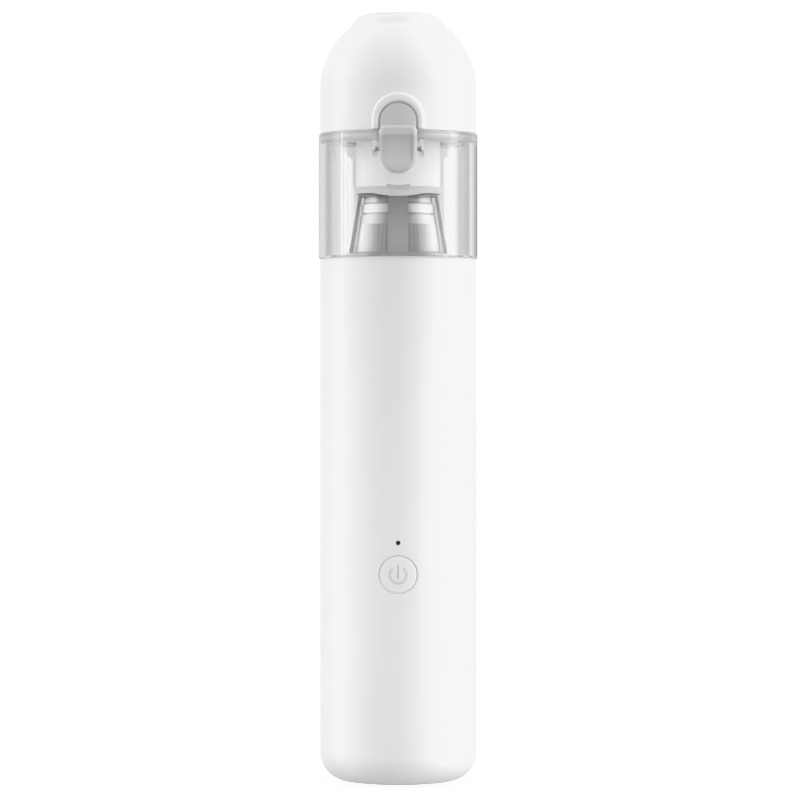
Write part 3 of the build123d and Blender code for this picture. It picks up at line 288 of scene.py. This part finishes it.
def make_collar():
    """Two rings with painted shade: white at the sides and greyer in the middle behind the strut, the lower one more
    so.
    """
    g = Graph("filter_collar_rings")
    slow = g.ramp(g.noise(110.0, 4.0), 0.3, 0.7, 0.0, 1.0)
    out = g.math("ABSOLUTE", g.axis("X"), 0.0)
    # painted shade behind the strut: both rings are greyer in the middle
    lower = g.mix(g.ramp(out, 0.0040, 0.0098, 0.0, 1.0), tone(0.30), g.mix(slow, tone(0.70), tone(0.74)))
    upper = g.mix(g.ramp(out, 0.0028, 0.0095, 0.0, 1.0), tone(0.42), g.mix(slow, tone(0.80), tone(0.84)))
    g.colour(g.mix(g.ramp(g.axis("Z"), 0.1974, 0.1977, 0.0, 1.0), lower, upper))
    g.rough(g.ramp(g.noise(600.0), 0.3, 0.7, 0.28, 0.34))
    return g.mat


def make_base():
    """White filter carrier; the edge of its flange carries a painted shadow under the cage: grey in the middle, darkest
    at its top, paling toward the sides.
    """
    g = moulded("filter_base_plastic", tone(0.74), tone(0.77), 0.34, 0.44, grain_mm=0.3, depth_mm=0.002)
    # painted shadow under the cage's base ring, across the middle of the flange's edge
    across = g.math("SQRT", g.math("ADD", g.math("POWER", g.axis("X"), 2.0), g.math("POWER", g.axis("Y"), 2.0)))
    middle = g.ramp(g.math("ABSOLUTE", g.axis("X"), 0.0), 0.0080, 0.0115, 1.0, 0.0)
    edge = g.math("MULTIPLY", g.ramp(across, 0.0208, 0.0210, 0.0, 1.0), middle)
    slow = g.ramp(g.noise(60.0, 4.0), 0.3, 0.7, 0.0, 1.0)
    grey = g.mix(g.ramp(g.axis("Z"), 0.1826, 0.1834, 1.0, 0.0), g.mix(slow, tone(0.27), tone(0.30)), g.mix(slow, tone(0.56), tone(0.60)))
    g.colour(g.mix(edge, g.mix(slow, tone(0.74), tone(0.77)), grey))
    return g.mat


def make_black_plastic():
    g = moulded("black_plastic", tone(0.018), tone(0.032), 0.42, 0.58, grain_mm=0.16, depth_mm=0.01)
    return g.mat


def make_black_rubber():
    g = Graph("black_rubber")
    slow = g.noise(150.0, 5.0)
    g.colour(g.mix(g.ramp(slow, 0.3, 0.75, 0.0, 1.0), tone(0.016), tone(0.034)))
    g.rough(g.ramp(g.noise(900.0, 4.0), 0.3, 0.7, 0.6, 0.8))
    g.normal(g.bump(g.noise(4200.0, 3.0), 0.5, 0.012))
    return g.mat


def make_foam():
    g = Graph("open_cell_foam")
    cell = g.cells(1400.0)
    g.colour(g.mix(g.ramp(cell, 0.05, 0.5, 0.0, 1.0), tone(0.02), tone(0.085)))
    g.rough(g.ramp(cell, 0.0, 0.6, 0.95, 0.8))
    g.normal(g.bump(cell, 0.9, 0.25))
    return g.mat


def metal(name, dark, light, rough_lo, rough_hi, along=(1.0, 1.0, 0.02), scale=2600.0, depth_mm=0.003):
    """Drawn or turned metal with fine marks along one direction."""
    g = Graph(name)
    lines = g.noise(scale, 3.0, where=g.stretch(*along))
    slow = g.noise(200.0, 3.0)
    g.colour(g.mix(g.ramp(slow, 0.3, 0.7, 0.0, 1.0), dark, light))
    g.rough(g.ramp(lines, 0.25, 0.75, rough_lo, rough_hi))
    g.normal(g.bump(lines, 0.3, depth_mm))
    g.set(Metallic=1.0)
    return g


def make_stack():
    """Stator laminations."""
    g = metal("stator_stack", tone(0.34), tone(0.42), 0.3, 0.45)
    g.normal(g.bump(g.wave(1000.0, "Z"), 0.6, 0.05))
    return g.mat


def make_copper():
    g = Graph("enamelled_copper")
    turns = g.wave(1150.0, "Z", distort=1.2)
    slow = g.noise(260.0, 3.0)
    g.colour(g.mix(g.ramp(slow, 0.3, 0.7, 0.0, 1.0), (0.42, 0.14, 0.05), (0.62, 0.26, 0.1)))
    g.rough(g.ramp(turns, 0.0, 1.0, 0.34, 0.22))
    g.normal(g.bump(turns, 0.8, 0.12))
    g.set(Metallic=1.0, Coat_Weight=0.5, Coat_Roughness=0.1)
    return g.mat


def make_wire():
    g = Graph("wire_insulation")
    slow = g.noise(300.0, 3.0)
    g.colour(g.mix(g.ramp(slow, 0.3, 0.7, 0.0, 1.0), (0.36, 0.012, 0.01), (0.5, 0.02, 0.016)))
    g.rough(g.ramp(g.noise(900.0), 0.3, 0.7, 0.34, 0.46))
    return g.mat


def make_magnet():
    g = metal("sintered_magnet", tone(0.09), tone(0.15), 0.45, 0.65, along=(1.0, 1.0, 1.0), scale=1800.0, depth_mm=0.01)
    return g.mat


def make_cells():
    """Battery cells: shrink sleeve with bare steel ends."""
    g = Graph("battery_cells")
    height = g.axis("Z")
    ends = g.math("ADD", g.ramp(height, 0.0883, 0.0885, 0.0, 1.0), g.ramp(height, 0.0244, 0.0246, 1.0, 0.0))
    slow = g.noise(80.0, 3.0)
    sleeve = g.mix(g.ramp(slow, 0.3, 0.7, 0.0, 1.0), (0.02, 0.12, 0.26), (0.03, 0.16, 0.33))
    g.colour(g.mix(ends, sleeve, tone(0.6)))
    g.link(g.math("MINIMUM", ends, 1.0), g.bsdf.inputs["Metallic"])
    g.rough(g.ramp(g.noise(400.0), 0.3, 0.7, 0.22, 0.36))
    return g.mat


def make_board():
    """Solder mask with tracks, and dark parts where the board stands proud."""
    g = Graph("circuit_board")
    tracks = g.node("ShaderNodeTexBrick")
    tracks.inputs["Scale"].default_value = 420.0
    tracks.inputs["Mortar Size"].default_value = 0.05
    g.link(g.coord, tracks.inputs["Vector"])
    slow = g.noise(300.0, 3.0)
    mask = g.mix(g.ramp(slow, 0.3, 0.7, 0.0, 1.0), (0.008, 0.07, 0.03), (0.015, 0.1, 0.045))
    g.colour(g.mix(tracks.outputs["Fac"], mask, (0.03, 0.16, 0.07)))
    g.rough(g.ramp(g.noise(900.0), 0.3, 0.7, 0.26, 0.4))
    g.normal(g.bump(tracks.outputs["Fac"], 0.4, 0.03))
    return g.mat


def make_led():
    g = Graph("led_epoxy")
    slow = g.noise(900.0, 3.0)
    g.colour(g.mix(g.ramp(slow, 0.3, 0.7, 0.0, 1.0), (0.78, 0.78, 0.7), (0.85, 0.85, 0.78)))
    g.rough(g.ramp(g.noise(1500.0), 0.3, 0.7, 0.1, 0.2))
    return g.mat


def make_lens():
    g = Graph("smoked_lens")
    slow = g.noise(1200.0, 3.0)
    g.colour(g.mix(g.ramp(slow, 0.3, 0.7, 0.0, 1.0), tone(0.004), tone(0.009)))
    g.rough(g.ramp(g.noise(2500.0), 0.3, 0.7, 0.25, 0.34))
    return g.mat


def make_print():
    """Pale grey pad print."""
    g = Graph("pale_grey_print")
    slow = g.noise(900.0, 4.0)
    across = g.ramp(g.math("ABSOLUTE", g.axis("X"), 0.0), 0.0004, 0.0006, 1.0, 0.0)
    bar = g.math("MULTIPLY", across, g.ramp(g.axis("Z"), 0.0711, 0.0714, 0.0, 1.0))
    ring = g.mix(g.ramp(slow, 0.3, 0.7, 0.0, 1.0), tone(0.66), tone(0.71))
    g.colour(g.mix(bar, ring, g.mix(g.ramp(slow, 0.3, 0.7, 0.0, 1.0), tone(0.56), tone(0.61))))
    g.rough(g.ramp(g.noise(3000.0), 0.3, 0.7, 0.42, 0.55))
    g.normal(g.bump(g.noise(5000.0, 2.0), 0.2, 0.003))
    return g.mat


STEEL = metal("plain_steel", tone(0.42), tone(0.52), 0.24, 0.38).mat
PIN = metal("pin_steel", tone(0.40), tone(0.48), 0.28, 0.4, along=(0.02, 1.0, 1.0)).mat
MOTOR = metal("motor_steel", tone(0.38), tone(0.46), 0.28, 0.42, along=(0.05, 0.05, 1.0)).mat
ALU = metal("machined_aluminium", tone(0.66), tone(0.74), 0.24, 0.36, along=(0.05, 0.05, 1.0)).mat
NICKEL = metal("nickel_plate", (0.62, 0.6, 0.55), (0.7, 0.68, 0.62), 0.16, 0.28).mat
SHELL, LINER, CLEAR = make_white_shell(), make_white_liner(), make_clear_cup()
BLACK, RUBBER, BOARD, WIRE = make_black_plastic(), make_black_rubber(), make_board(), make_wire()
GASKET, SILICONE = make_gasket(), make_silicone()

LOOKS = {
    "main_housing": SHELL, "nozzle_dome": SHELL, "power_button": SHELL, "exhaust_grille": SHELL,
    "inlet_duct": make_duct(), "lid_plate": LINER, "filter_collar": make_collar(), "dust_cup": CLEAR,
    "latch_lever": make_latch_grey(), "lid_gasket": GASKET, "inlet_flap": SILICONE,
    "filter_cage": make_cage(), "filter_media": make_media(), "filter_base": make_base(),
    "filter_seal": RUBBER, "cup_seal": SILICONE, "foot_pad": RUBBER, "motor_inlet_seal": RUBBER,
    "motor_mount": RUBBER, "chassis": BLACK, "filter_deck": LINER, "diffuser": BLACK,
    "battery_holder_lower": BLACK, "battery_holder_upper": BLACK, "motor_end_bell": BLACK,
    "tact_switch": BLACK, "exhaust_filter": make_foam(), "fan_shroud": ALU, "impeller": ALU,
    "base_screws": STEEL, "deck_screws": STEEL, "lid_screws": STEEL, "hinge_pin": STEEL,
    "latch_pin": PIN, "latch_spring": STEEL, "bearing_upper": STEEL, "bearing_lower": STEEL,
    "motor_shaft": STEEL, "motor_can": MOTOR, "stator_core": make_stack(), "stator_coils": make_copper(),
    "motor_leads": WIRE, "battery_leads": WIRE, "rotor_magnet": make_magnet(), "battery_cells": make_cells(),
    "battery_tabs": NICKEL, "usb_socket": NICKEL, "driver_board": BOARD, "control_board": BOARD,
    "usb_board": BOARD, "indicator_led": make_led(), "indicator_lens": make_lens(),
}
for node_name, node_obj in NODES.items():
    for node_slot in node_obj.material_slots:
        node_slot.material = LOOKS[node_name]


# ------------------------------------------------------------------ modelled pieces
def new_piece(name, bm, material, body):
    mesh = bpy.data.meshes.new(name)
    bmesh.ops.recalc_face_normals(bm, faces=bm.faces)
    bm.to_mesh(mesh)
    bm.free()
    for p in mesh.polygons:
        p.use_smooth = True
    mesh.materials.append(material)
    obj = bpy.data.objects.new(name, mesh)
    SCENE.collection.objects.link(obj)
    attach(obj, body)
    return obj


BODY_R, BUTTON_Z = 27.2, 73.2


def on_tube(x, z, lift):
    """A point over the tube's front, lift above its surface, in metres."""
    r = BODY_R + lift
    return Vector((x, -math.sqrt(r * r - x * x), z)) * MM


def stroke(bm, path, half, lift, closed_ends=True):
    """A raised line of print along a path in the button's plane: domed top, buried skirt, round ends."""
    profile = [(-half, -0.10), (-half, 0.3 * lift), (-0.72 * half, 0.9 * lift), (0, lift),
               (0.72 * half, 0.9 * lift), (half, 0.3 * lift), (half, -0.10)]
    rings = []
    n = len(path)
    for i in range(n):
        a, b = path[max(i - 1, 0)], path[min(i + 1, n - 1)]
        t = Vector((b[0] - a[0], b[1] - a[1])).normalized()
        side = Vector((t.y, -t.x))
        rings.append([bm.verts.new(on_tube(path[i][0] + side.x * u, path[i][1] + side.y * u, v)) for u, v in profile])
    m = len(profile)
    for i in range(n - 1):
        for k in range(m):
            bm.faces.new((rings[i][k], rings[i][(k + 1) % m], rings[i + 1][(k + 1) % m], rings[i + 1][k]))
    for ring, at, sign in ((rings[0], 0, -1), (rings[-1], n - 1, 1)):
        a, b = path[max(at - 1, 0)], path[min(at + 1, n - 1)]
        t = Vector((b[0] - a[0], b[1] - a[1])).normalized() * sign
        side = Vector((t.y, -t.x)) * sign
        last = ring
        steps = 6
        for s in range(1, steps + 1):
            ang = 0.5 * math.pi * s / steps
            out, shrink = half * math.sin(ang), math.cos(ang)
            if s < steps:
                new = [bm.verts.new(on_tube(path[at][0] + t.x * out + side.x * u * shrink,
                                            path[at][1] + t.y * out + side.y * u * shrink, v)) for u, v in profile]
                for k in range(m):
                    bm.faces.new((last[k], last[(k + 1) % m], new[(k + 1) % m], new[k]))
                last = new
            else:
                bm.faces.new(last)


icon = bmesh.new()
arc = [(2.85 * math.cos(math.radians(a)), BUTTON_Z + 2.85 * math.sin(math.radians(a))) for a in [135 + 270 * i / 72 for i in range(73)]]
stroke(icon, arc, 0.47, 0.03)
stroke(icon, [(0.0, BUTTON_Z + z) for z in (-1.2, -0.3, 0.6, 1.5, 2.4, 3.2)], 0.34, 0.03)
new_piece("power_icon", icon, make_print(), "power_button")


# soft lining in the groove round the rocker
lining = bmesh.new()
groove = [(-6.5, 226.3), (-6.5, 227.3)]
groove += [(6.5 * math.cos(math.radians(a)), 228.43 + 6.5 * math.sin(math.radians(a))) for a in [180 - 180 * i / 48 for i in range(49)]]
groove += [(6.5, 227.3), (6.5, 226.3)]
stroke(lining, groove, 0.14, 0.62)
new_piece("recess_lining", lining, SHELL, "nozzle_lid")

# soft sleeve that closes the gap round the button, just under the surface
SLEEVE_IN, SLEEVE_OUT, SLEEVE_LIFT = 5.9, 6.42, -0.07
sleeve = bmesh.new()
rings = []
for r, lift in ((SLEEVE_OUT, -0.9), (SLEEVE_OUT, SLEEVE_LIFT - 0.02), (SLEEVE_OUT - 0.02, SLEEVE_LIFT), (SLEEVE_IN, SLEEVE_LIFT - 0.42), (SLEEVE_IN, -0.9)):
    rings.append([sleeve.verts.new(on_tube(r * math.cos(2 * math.pi * k / 128), BUTTON_Z + r * math.sin(2 * math.pi * k / 128), lift)) for k in range(128)])
for i in range(5):
    for k in range(128):
        a, b = rings[i], rings[(i + 1) % 5]
        sleeve.faces.new((a[k], a[(k + 1) % 128], b[(k + 1) % 128], b[k]))
new_piece("button_sleeve", sleeve, SHELL, "power_button")


def turned(profile, turns):
    """A closed ring turned round the Z axis from a closed profile of (radius, height) in mm."""
    bm = bmesh.new()
    rings = [[bm.verts.new((r * MM * math.cos(2 * math.pi * k / turns), r * MM * math.sin(2 * math.pi * k / turns), z * MM))
              for r, z in profile] for k in range(turns)]
    n = len(profile)
    for k in range(turns):
        a, b = rings[k], rings[(k + 1) % turns]
        for i in range(n):
            bm.faces.new((a[i], b[i], b[(i + 1) % n], a[(i + 1) % n]))
    return bm


# the seal is pressed against the cup's wall, and its thin flange lies on the rim
SEAL = [(22.95, 225.4), (24.3, 225.55), (24.4, 225.78), (27.2, 225.78), (27.3, 225.72), (27.3, 225.58), (27.2, 225.53),
        (25.1, 225.53), (25.03, 225.2), (25.03, 222.1), (24.9, 221.9), (24.6, 221.8), (24.0, 221.85), (23.3, 222.1), (22.95, 222.5)]
seal = new_piece("lid_seal", turned(SEAL, 256), GASKET, "nozzle_lid")
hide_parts("lid_gasket")

# boss under the cage's top plate, that closes the collar; its dark middle is painted shade under the lip
BOSS = [(4.0, 201.32), (11.5, 201.32), (11.8, 201.7), (11.8, 203.68), (4.0, 203.68)]
new_piece("cage_boss", turned(BOSS, 128), make_boss(), "filter_unit")

# coil behind the rocker's pad
COIL_R, WIRE_R, COIL_Y, COIL_Z, COIL_PITCH, COIL_TURNS = 1.35, 0.22, -27.2, 213.4, 0.74, 3
coil = bmesh.new()
rings = []
for i in range(COIL_TURNS * 40 + 1):
    turn = i / 40
    out = Vector((math.cos(2 * math.pi * turn), 0.0, math.sin(2 * math.pi * turn)))
    mid = out * COIL_R + Vector((0.0, COIL_Y - COIL_PITCH * turn, COIL_Z))
    rings.append([coil.verts.new((mid + out * (WIRE_R * math.cos(2 * math.pi * k / 12))
                                  + Vector((0.0, WIRE_R * math.sin(2 * math.pi * k / 12), 0.0))) * MM) for k in range(12)])
for a, b in zip(rings, rings[1:]):
    for k in range(12):
        coil.faces.new((a[k], a[(k + 1) % 12], b[(k + 1) % 12], b[k]))
coil.faces.new(rings[0])
coil.faces.new(rings[-1])
spring = new_piece("rocker_spring", coil, STEEL, "dust_cup")
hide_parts("latch_spring")
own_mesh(spring)

# pale ring that the cup stands on
REST = [(23.5, 181.8), (27.1, 181.8), (27.15, 182.0), (27.1, 182.23), (23.5, 182.23)]
new_piece("cup_rest_ring", turned(REST, 256), SHELL, "main_body")


# -------------------------------------------------------------------------- stage
def make_floor():
    bm = bmesh.new()
    rings, turns = [0.0, 0.05, 0.1, 0.2, 0.4, 0.8, 1.6, 3.2, 6.4, 14.0, 40.0], 64
    last = [bm.verts.new((0, 0, 0))]
    for r in rings[1:]:
        new = [bm.verts.new((r * math.cos(2 * math.pi * k / turns), r * math.sin(2 * math.pi * k / turns), 0)) for k in range(turns)]
        for k in range(turns):
            if len(last) == 1:
                bm.faces.new((last[0], new[k], new[(k + 1) % turns]))
            else:
                bm.faces.new((last[k], new[k], new[(k + 1) % turns], last[(k + 1) % turns]))
        last = new
    mesh = bpy.data.meshes.new("floor")
    bm.to_mesh(mesh)
    bm.free()
    obj = bpy.data.objects.new("floor", mesh)
    obj.location = (0, 0, -0.0002)
    SCENE.collection.objects.link(obj)
    g = Graph("pale_floor")
    slow = g.noise(1.6, 3.0)
    g.colour(g.mix(g.ramp(slow, 0.3, 0.7, 0.0, 1.0), tone(0.80), tone(0.82)))
    g.set(Roughness=0.9)
    g.bsdf.inputs["Emission Color"].default_value = (1, 1, 1, 1)
    g.bsdf.inputs["Emission Strength"].default_value = 1.6
    mesh.materials.append(g.mat)
    obj.visible_diffuse = obj.visible_glossy = obj.visible_transmission = False


make_floor()


# radiance of the tent round the horizon: degrees from the camera's side, minus is the picture's left
TENT = (
    (-180, 0.74), (-158, 0.76), (-142, 0.74), (-131, 0.38), (-117, 0.36), (-107, 1.1), (-98, 2.4), (-88, 2.3),
    (-76, 1.2), (-64, 1.05), (-52, 0.92), (-40, 0.70), (-25, 0.58), (-10, 0.54), (8, 0.55), (22, 0.64),
    (34, 0.88), (46, 1.35), (58, 2.0), (72, 2.4), (86, 2.5), (98, 2.0), (107, 0.9), (116, 0.38),
    (129, 0.42), (139, 0.95), (147, 0.80), (153, 0.56), (162, 0.42), (180, 0.6),
)


def make_world(over, under, inside, share, seen, backdrop):
    """White tent: dimmer where the camera stands, with two grey flags behind the object."""
    world = bpy.data.worlds.new("studio")
    SCENE.world = world
    world.use_nodes = True
    t = world.node_tree
    t.nodes.clear()

    def node(kind, **values):
        n = t.nodes.new(kind)
        for key, v in values.items():
            setattr(n, key, v)
        return n

    def calc(op, a, b):
        n = node("ShaderNodeMath", operation=op)
        for i, v in enumerate((a, b)):
            if isinstance(v, (int, float)):
                n.inputs[i].default_value = v
            else:
                t.links.new(v, n.inputs[i])
        return n.outputs[0]

    def ramp(v, a, b, lo, hi):
        n = node("ShaderNodeMapRange", interpolation_type="SMOOTHSTEP")
        t.links.new(v, n.inputs["Value"])
        for key, x in (("From Min", a), ("From Max", b), ("To Min", lo), ("To Max", hi)):
            n.inputs[key].default_value = x
        return n.outputs["Result"]

    def blend(factor, a, b):
        return calc("ADD", calc("MULTIPLY", a, calc("SUBTRACT", 1.0, factor)), calc("MULTIPLY", b, factor))

    way = node("ShaderNodeTexCoord").outputs["Generated"]
    split = node("ShaderNodeSeparateXYZ")
    t.links.new(way, split.inputs[0])
    turn = calc("MULTIPLY", calc("ARCCOSINE", calc("MULTIPLY", split.outputs["Y"], -1.0), 0.0), calc("SIGN", split.outputs["X"], 0.0))
    place = calc("ADD", calc("MULTIPLY", turn, 0.5 / math.pi), 0.5)
    tent = node("ShaderNodeValToRGB")
    t.links.new(place, tent.inputs["Fac"])
    stops = tent.color_ramp
    stops.interpolation = "LINEAR"
    top = 3.0
    for k, (angle, value) in enumerate(TENT):
        at = (angle + 180) / 360
        stop = stops.elements[k] if k in (0,) else (stops.elements.new(at) if k < len(TENT) - 1 else stops.elements[-1])
        stop.position = at
        stop.color = (value / top, value / top, value / top, 1.0)
    level = calc("MULTIPLY", tent.outputs["Color"], top)
    height = calc("ABSOLUTE", split.outputs["Z"], 0.0)
    level = calc("MULTIPLY", level, ramp(height, 0.2, 0.65, 1.0, 0.52))
    light = blend(ramp(split.outputs["Z"], 0.5, 0.95, 0.0, 1.0), level, over)
    light = blend(ramp(split.outputs["Z"], -0.75, -0.15, 1.0, 0.0), light, under)
    path = node("ShaderNodeLightPath")
    turns = calc("SUBTRACT", path.outputs["Ray Depth"], path.outputs["Transmission Depth"])
    straight = calc("LESS_THAN", turns, 1.5)
    inner = calc("MULTIPLY", calc("GREATER_THAN", path.outputs["Diffuse Depth"], 0.5), calc("GREATER_THAN", path.outputs["Transmission Depth"], 1.5))
    even = calc("MULTIPLY", ramp(split.outputs["Z"], -0.6, 0.2, 0.55, 1.0), inside)
    light = blend(calc("MULTIPLY", inner, share), light, even)
    total = blend(path.outputs["Is Camera Ray"], blend(straight, light, seen), backdrop)
    bg = node("ShaderNodeBackground")
    bg.inputs["Color"].default_value = (1, 1, 1, 1)
    t.links.new(total, bg.inputs["Strength"])
    out = node("ShaderNodeOutputWorld")
    t.links.new(bg.outputs[0], out.inputs["Surface"])


make_world(over=1.3, under=0.5, inside=2.45, share=0.92, seen=0.62, backdrop=2.9)


def softbox(name, azimuth, elevation, distance, width, height, radiance, aim=0.14, spread=180, matte_only=False):
    """Rectangular light that faces the object, given by its even radiance."""
    data = bpy.data.lights.new(name, "AREA")
    data.shape = "RECTANGLE"
    data.size, data.size_y = width, height
    data.energy = radiance * math.pi * width * height
    data.spread = math.radians(spread)
    obj = bpy.data.objects.new(name, data)
    a, e = math.radians(azimuth), math.radians(elevation)
    back = Vector((math.sin(a) * math.cos(e), -math.cos(a) * math.cos(e), math.sin(e)))
    obj.location = Vector((0, 0, aim)) + back * distance
    obj.rotation_euler = back.to_track_quat("Z", "Y").to_euler()
    SCENE.collection.objects.link(obj)
    obj.visible_camera = False
    if matte_only:
        obj.visible_glossy = obj.visible_transmission = False
    return obj


softbox("strip_left", -88, 4, 1.3, 0.10, 1.3, 4.0)
softbox("strip_right", 87.5, 4, 1.3, 0.30, 1.3, 2.4)
softbox("fill_left", -88, 4, 1.5, 0.9, 1.4, 1.65, matte_only=True)
softbox("fill_right", 88, 4, 1.5, 0.7, 1.4, 0.8, matte_only=True)
softbox("fill_tube", 4, 0, 0.9, 0.5, 0.285, 0.047, aim=0.0225, spread=10, matte_only=True)
softbox("fill_low", 6, 2, 0.9, 0.5, 0.06, 0.165, aim=0.02, spread=24, matte_only=True)

camera = bpy.data.objects.new("camera", bpy.data.cameras.new("camera"))
SCENE.collection.objects.link(camera)
camera.data.sensor_width, camera.data.lens = 36.0, 180.7
camera.data.clip_start, camera.data.clip_end = 0.05, 100.0
camera.location = (0.00063, -1.4, 0.133)
camera.rotation_euler = (math.radians(90), 0, 0)
SCENE.camera = camera

view = SCENE.view_settings
view.view_transform, view.look = "Standard", "None"
view.use_curve_mapping = True
curve = view.curve_mapping
TOP = 3.0
curve.white_level = (TOP, TOP, TOP)
curve.extend = "HORIZONTAL"
line = curve.curves[3]
for x, y in ((0.74, 0.735), (0.86, 0.85), (0.93, 0.917), (1.25, 0.93), (1.7, 0.938), (2.4, 1.0)):
    line.points.new(x / TOP, y)
for p in line.points:
    p.handle_type = "VECTOR"
curve.update()

SCENE.cycles.use_denoising = True
SCENE.cycles.max_bounces = 16
SCENE.cycles.transmission_bounces = 14
SCENE.cycles.glossy_bounces = 8
SCENE.cycles.diffuse_bounces = 4
